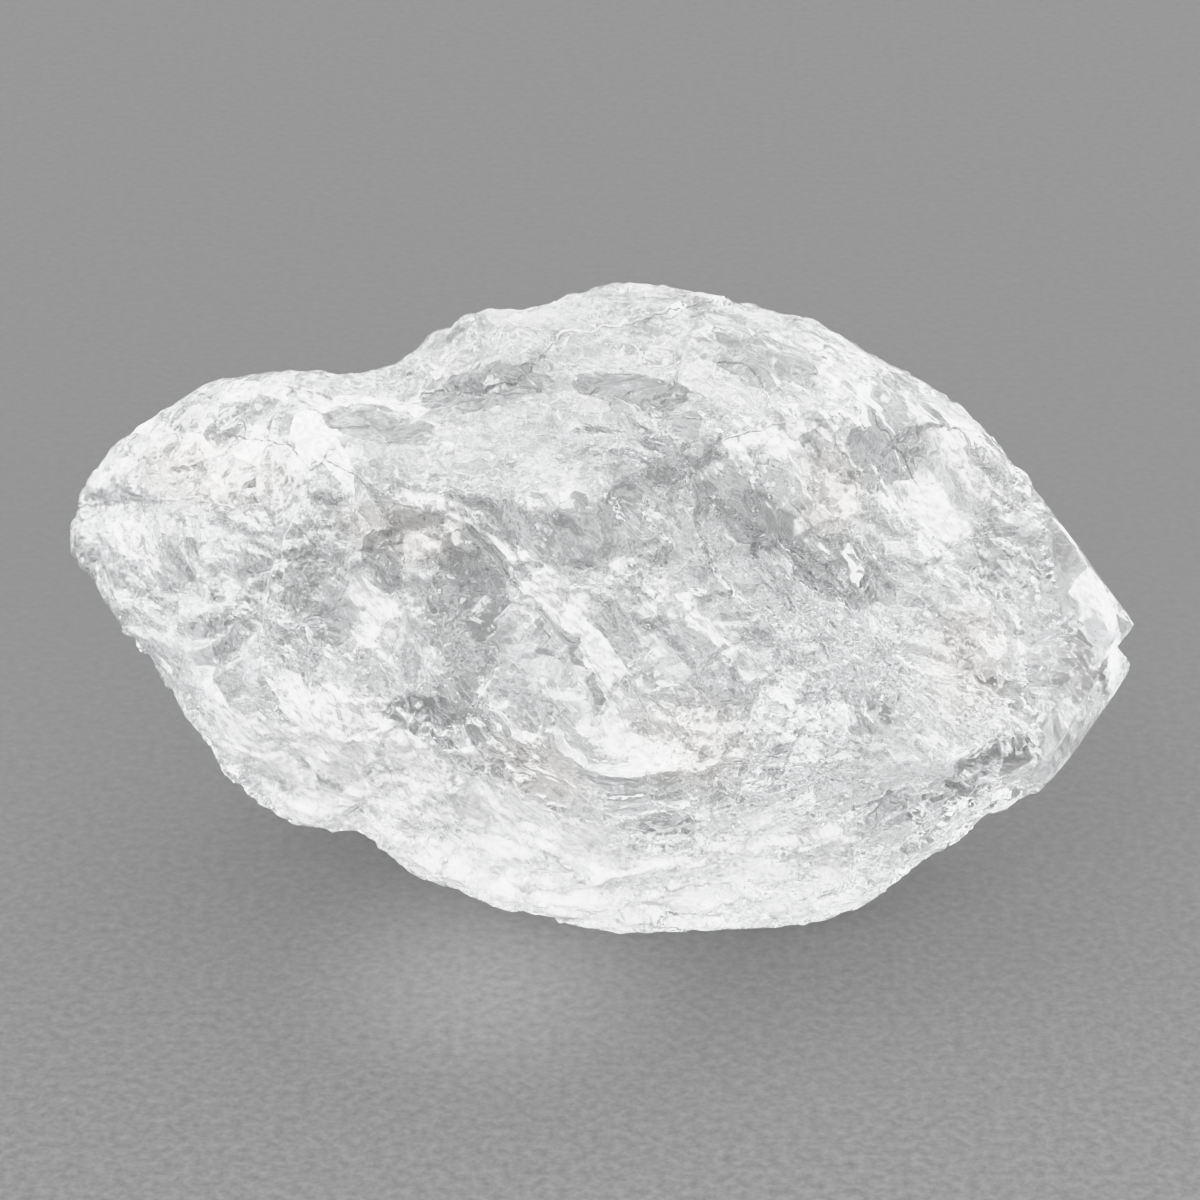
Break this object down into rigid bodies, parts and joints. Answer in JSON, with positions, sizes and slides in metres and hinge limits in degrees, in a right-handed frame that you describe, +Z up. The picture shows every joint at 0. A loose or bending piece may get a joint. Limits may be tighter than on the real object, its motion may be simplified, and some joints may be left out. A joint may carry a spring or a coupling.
{
  "type": "quartz crystal",
  "caption": "Rough clear quartz crystal, etched and flaked all over, lying on one face, with a smooth pointed end.",
  "frame": {"origin": "on the resting plane, below the middle of the crystal's bounding box", "axes": "+X along the crystal towards its pointed end, +Z up from the resting face, -Y towards the etched front"},
  "size_m": [0.0604, 0.0342, 0.0341],
  "materials": {
    "clear_quartz": "satin"
  },
  "bodies": {
    "root": {"quartz_crystal": "clear_quartz"}
  },
  "joints": []
}
